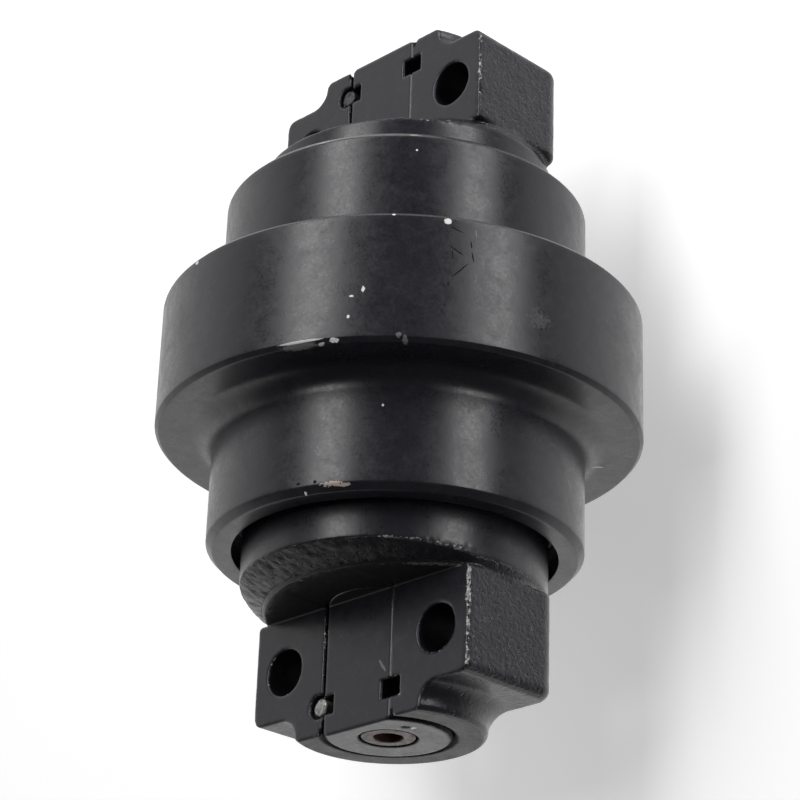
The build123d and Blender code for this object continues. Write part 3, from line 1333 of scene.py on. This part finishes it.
@dataclass
class FixedShaft:
    """Shaft with end flats, pin slots, ring grooves and the filler port."""

    body: str = "axle_assembly"
    flat_z: float = 14.8
    flat_start: float = 81.0
    chamfer: float = 1.0
    slot_x: float = 11.0
    slot_y: float = 115.0
    slot_half: float = 3.1
    port_r: float = 9.6
    port_depth: float = 2.6
    thread_r: float = 7.0
    thread_depth: float = 16.0
    gallery_r: float = 4.5
    gallery_end: float = 8.0
    cross_r: float = 3.0
    groove_y: float = 68.0
    groove_half: float = 2.1
    groove_r: float = 17.7
    radius: float = field(default_factory=lambda: radius_of("shaft"))
    half_length: float = field(default_factory=lambda: reach_of("shaft"))

    def solid(self, x: np.ndarray, y: np.ndarray, z: np.ndarray) -> np.ndarray:
        """Distance field of the whole shaft.

        Args:
            x: Positions across the bolt rows.
            y: Positions along the axis.
            z: Heights.

        Returns:
            The distance field, negative inside.
        """
        radius = np.hypot(x, z)
        far = np.abs(y)
        body = np.maximum(radius - self.radius, far - self.half_length)
        bevel = (radius - self.radius + far - self.half_length + self.chamfer) * math.sqrt(0.5)
        body = round_common(body, bevel, 0.3)
        flat = np.maximum(self.flat_z - z, self.flat_start - far)
        body = round_cut(body, flat, 0.28)
        slot = np.maximum(self.slot_x - np.abs(x), np.abs(far - self.slot_y) - self.slot_half)
        body = round_cut(body, slot, 0.25)
        groove = np.maximum(self.groove_r - radius, np.abs(far - self.groove_y) - self.groove_half)
        body = np.maximum(body, -groove)
        depth = y + self.half_length
        port = np.maximum(radius - self.port_r, depth - self.port_depth)
        thread = np.maximum(radius - self.thread_r, depth - self.port_depth - self.thread_depth)
        gallery = np.maximum(radius - self.gallery_r, y - self.gallery_end)
        body = round_cut(body, np.minimum(port, np.minimum(thread, gallery)), 0.35)
        return np.maximum(body, self.cross_r - np.hypot(x, y))

    def build(self) -> bpy.types.Object:
        """Moulds the shaft and puts it on its body.

        Returns:
            The painted shaft.
        """
        low = (-self.radius, -self.half_length, -self.radius)
        high = (self.radius, self.half_length, self.radius)
        skin = Moulder(self.solid, low, high, pitch=0.6).skin()
        noise = SolidNoise(5)
        depth = 0.5 * skin.traits["edge"] * np.clip(noise(skin.points, 1.7) - 0.45, 0, 1)
        skin.points -= skin.normals() * depth[:, None]
        x, y, z = skin.points.T
        bevel = (np.hypot(x, z) > self.radius - self.chamfer) & (np.abs(y) > self.half_length - 1.2)
        port = (np.hypot(x, z) < self.port_r + 0.2) & (y < -self.half_length + 1 + self.port_depth)
        # Painted shade in the end chamfers below the flats, where the shaft sits in the bore mouth, and
        # in the filler port recess.
        skin.traits["grime"] = np.where((bevel & (z < self.flat_z - 0.4)) | port, 1.0, 0.0)
        piece = skin.to_object("painted_shaft")
        stand_for(piece, self.body, "shaft")
        return piece

    def dress(self, piece: bpy.types.Object) -> None:
        """Paints the shaft.

        Args:
            piece: The shaft.
        """
        marks = (
            Mark(Damage.SCUFF, 37.6, 18.7, -107.2, 0.45, 2.6, tilt=29.0, ragged=0.4),
            Mark(Damage.BARE, 79.0, 14.6, -self.half_length, 0.8, 1.0, ragged=0.2, deep=1.3),
            Mark(Damage.SCRATCH, 68.0, 13.8, -self.half_length, 1.6, 1.0, ragged=0.8, deep=1.5),
        )
        dress(piece, BlackPaint("shaft_black_paint", edge_wear=0.6, peel=0.000006, marks=marks).build())


@dataclass
class LockPin:
    """Bare pin that stands in the left seam and keeps shaft and collar together."""

    end: End
    body: str = "axle_assembly"
    rounding: float = 0.7
    core: float = 0.4

    def build(self) -> bpy.types.Object:
        """Turns the pin and stands it in its hole.

        Returns:
            The bare pin.
        """
        low, high = (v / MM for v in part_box(f"{self.end.word}_lock_pin"))
        radius = (high.x - low.x) / 2
        corners = [Corner(self.core, low.z), Corner(radius, low.z, self.rounding)]
        corners += [Corner(radius, high.z, self.rounding), Corner(self.core, high.z)]
        skin = Lathe(corners, segments=72, pitch=0.8, arc_pitch=0.12, capped=True).skin()
        x, y, z = skin.points.T
        centre = (low + high) / 2
        skin.points = np.stack([x + centre.x, -z + centre.y, y], axis=1)
        noise = SolidNoise(40 + self.end.value)
        dent = np.clip(noise(skin.points, 1.3) - 0.4, 0, 1) * (skin.points[:, 2] > high.z - 1.2)
        skin.points[:, 2] -= 0.5 * dent
        piece = skin.to_object(f"bare_{self.end.word}_lock_pin")
        stand_for(piece, self.body, f"{self.end.word}_lock_pin")
        return piece

    def dress(self, piece: bpy.types.Object) -> None:
        """Gives the pin its plain steel.

        Args:
            piece: The pin.
        """
        tones = {
            End.NEAR: ((0.40, 0.395, 0.385), (0.10, 0.095, 0.09)),
            End.FAR: ((0.022, 0.022, 0.024), (0.11, 0.11, 0.11)),
        }
        metallic = 0.7 if self.end is End.NEAR else 0.2
        finish = PlainMetal(f"{self.end.word}_pin_steel", *tones[self.end], 0.36, metallic)
        dress(piece, finish.build())


@dataclass
class FillerPlug:
    """Oil filler plug in the shaft end, with its round drive recess."""

    body: str = "axle_assembly"
    stem_r: float = 6.95
    head_t: float = 1.8
    socket_r: float = 4.9
    socket_depth: float = 6.5
    core: float = 0.4

    def build(self) -> bpy.types.Object:
        """Turns the plug and puts it in its port.

        Returns:
            The primed plug.
        """
        low, high = (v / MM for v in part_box("filler_plug"))
        head_r = high.x
        corners = [
            Corner(self.core, high.y),
            Corner(self.stem_r, high.y, 0.5),
            Corner(self.stem_r, low.y + self.head_t),
            Corner(head_r, low.y + self.head_t, 0.2),
            Corner(head_r, low.y, 0.6),
            Corner(self.socket_r, low.y, 0.5),
            Corner(self.socket_r, low.y + self.socket_depth, 0.8),
            Corner(self.core, low.y + self.socket_depth),
        ]
        skin = Lathe(corners, segments=144, pitch=0.6, arc_pitch=0.12, capped=True).skin()
        piece = skin.to_object("primed_filler_plug")
        stand_for(piece, self.body, "filler_plug")
        return piece

    def dress(self, piece: bpy.types.Object) -> None:
        """Gives the plug its red-brown primer.

        Args:
            piece: The plug.
        """
        finish = PlainMetal("plug_red_primer", (0.085, 0.034, 0.030), (0.030, 0.014, 0.013), 0.38, 0.0)
        dress(piece, finish.build())


@dataclass
class HiddenWorks:
    """Bushes, seals and rings inside the roller: the nodes keep their shape and get real finishes."""

    def dress(self) -> None:
        """Gives each hidden node its finish."""
        bronze = PlainMetal("bush_bronze", (0.62, 0.42, 0.20), (0.30, 0.19, 0.09), 0.32).build()
        iron = PlainMetal("seal_iron", (0.34, 0.34, 0.35), (0.16, 0.15, 0.15), 0.22).build()
        soft = PlainMetal("washer_metal", (0.72, 0.72, 0.72), (0.45, 0.44, 0.43), 0.40).build()
        rubber = MouldedRubber().build()
        finishes = {
            "bush": bronze,
            "seal_ring": iron,
            "washer": soft,
            "toric_ring": rubber,
            "shaft_ring": rubber,
        }
        for name, node in frame["nodes"].items():
            for word, material in finishes.items():
                if name.endswith(word):
                    dress(node, material)
                    LOG.info("%s: %s", name, material.name)


# ---------------------------------------------------------------- studio


def facing(place: Vector, target: Vector, upright: Vector) -> Matrix:
    """Pose of a lamp or camera at `place` that looks at `target` with `upright` near its own up.

    Args:
        place: Position in metres.
        target: Point looked at.
        upright: Direction that stays up.

    Returns:
        World matrix.
    """
    back = (place - target).normalized()
    right = upright.cross(back).normalized()
    turn = Matrix((right, back.cross(right), back)).transposed()
    return Matrix.Translation(place) @ turn.to_4x4()


def round_axis(angle: float, lean: float) -> Vector:
    """Unit direction at an angle about the roller axis (from +Z towards +X), leaning towards +Y."""
    turn, rise = math.radians(angle), math.radians(lean)
    return Vector((math.sin(turn) * math.cos(rise), math.sin(rise), math.cos(turn) * math.cos(rise)))


@dataclass(frozen=True)
class SoftBox:
    """Rectangular studio lamp: direction from the roller, distance, size and radiance."""

    name: str
    angle: float
    lean: float
    distance: float
    width: float
    height: float
    radiance: float

    def build(self) -> bpy.types.Object:
        """Hangs the lamp.

        Returns:
            The lamp.
        """
        lamp = bpy.data.lights.new(self.name, "AREA")
        lamp.shape = "RECTANGLE"
        lamp.size, lamp.size_y = self.width, self.height
        lamp.energy = self.radiance * self.width * self.height * math.pi
        holder = bpy.data.objects.new(self.name, lamp)
        bpy.context.scene.collection.objects.link(holder)
        place = round_axis(self.angle, self.lean) * self.distance
        holder.matrix_world = facing(place, Vector((0, 0, 0)), Vector((0, 1, 0)))
        holder.visible_camera = False
        return holder


@dataclass
class Studio:
    """Pale floor, soft lamps and the even room light."""

    floor_half: float = 8.0
    camera_side: tuple[float, float, float] = (0.652, -0.417, 0.633)
    room: tuple[tuple[float, float], ...] = ((-0.70, 1.02), (-0.15, 0.88), (0.09, 0.06), (1.0, 0.04))
    room_seen: float = 1.0
    lamps: tuple[SoftBox, ...] = (
        SoftBox("overhead_strip", 3.9, 24.0, 1.3, 0.42, 1.5, 6.4),
        SoftBox("side_strip", 88.0, 24.0, 1.3, 0.42, 1.5, 5.8),
    )

    def floor(self) -> None:
        """Lays the floor just under the flange."""
        low = CAD_BOX[0].z
        half = self.floor_half
        plan = ((-half, -half), (half, -half), (half, half), (-half, half))
        corners = np.array([(x, y, low) for x, y in plan])
        skin = Skin(corners / MM, np.array([[0, 1, 2, 3]]))
        ground = skin.to_object("studio_floor")
        dress(ground, PaleFloor().build())
        ground.visible_glossy = False

    def room_light(self) -> None:
        """Room light: dim from the camera side, bright from behind the roller."""
        world = bpy.data.worlds.new("studio_room")
        bpy.context.scene.world = world
        world.use_nodes = True
        tree = world.node_tree
        tree.nodes.clear()
        place = tree.nodes.new("ShaderNodeTexCoord")
        along = tree.nodes.new("ShaderNodeVectorMath")
        along.operation = "DOT_PRODUCT"
        along.inputs[1].default_value = self.camera_side
        tree.links.new(place.outputs["Generated"], along.inputs[0])
        spread = tree.nodes.new("ShaderNodeMapRange")
        spread.inputs[1].default_value = -1.0
        tree.links.new(along.outputs["Value"], spread.inputs[0])
        shade = tree.nodes.new("ShaderNodeValToRGB")
        stops = shade.color_ramp.elements
        while len(stops) < len(self.room):
            stops.new(0.5)
        for stop, (turned, level) in zip(stops, self.room):
            stop.position = (turned + 1) / 2
            stop.color = (level, level, level, 1.0)
        tree.links.new(spread.outputs[0], shade.inputs[0])
        lit = tree.nodes.new("ShaderNodeBackground")
        tree.links.new(shade.outputs[0], lit.inputs["Color"])
        seen = tree.nodes.new("ShaderNodeBackground")
        seen.inputs["Strength"].default_value = self.room_seen
        path = tree.nodes.new("ShaderNodeLightPath")
        either = tree.nodes.new("ShaderNodeMixShader")
        tree.links.new(path.outputs["Is Camera Ray"], either.inputs[0])
        tree.links.new(lit.outputs[0], either.inputs[1])
        tree.links.new(seen.outputs[0], either.inputs[2])
        output = tree.nodes.new("ShaderNodeOutputWorld")
        tree.links.new(either.outputs[0], output.inputs["Surface"])

    def build(self) -> None:
        """Sets up the whole studio."""
        self.floor()
        self.room_light()
        for lamp in self.lamps:
            lamp.build()
        bpy.context.scene.view_settings.view_transform = "Standard"


@dataclass
class Viewpoint:
    """Camera given by direction, distance, roll and lens."""

    azimuth: float = -32.58
    elevation: float = 39.24
    roll: float = 65.92
    distance: float = 884.7
    target: tuple[float, float, float] = (-2.2, -2.5, 0.7)
    lens: float = 116.2
    shift: tuple[float, float] = (0.0069, -0.0084)

    def build(self) -> None:
        """Places the camera and makes it the scene's."""
        turn, rise = math.radians(self.azimuth), math.radians(self.elevation)
        back = Vector((math.cos(turn) * math.cos(rise), math.sin(turn) * math.cos(rise), math.sin(rise)))
        target = Vector(self.target) * MM
        lens = bpy.data.cameras.new("studio_camera")
        lens.lens = self.lens
        lens.sensor_width = 36.0
        lens.shift_x, lens.shift_y = self.shift
        lens.clip_start, lens.clip_end = 0.01, 100.0
        camera = bpy.data.objects.new("studio_camera", lens)
        bpy.context.scene.collection.objects.link(camera)
        level = facing(target + back * self.distance * MM, target, Vector((0, 0, 1)))
        camera.matrix_world = level @ Matrix.Rotation(-math.radians(self.roll), 4, "Z")
        bpy.context.scene.camera = camera


def main() -> None:
    """Builds every piece, dresses it and sets up the studio."""
    logging.basicConfig(level=logging.INFO, format="%(message)s")
    pieces = [RollerShell(), EndCollar(End.NEAR), EndCollar(End.FAR), FixedShaft()]
    pieces += [LockPin(End.NEAR), LockPin(End.FAR), FillerPlug()]
    for piece in pieces:
        piece.dress(piece.build())
    HiddenWorks().dress()
    Studio().build()
    Viewpoint().build()
    bpy.context.view_layer.update()


if __name__ == "__main__":
    main()
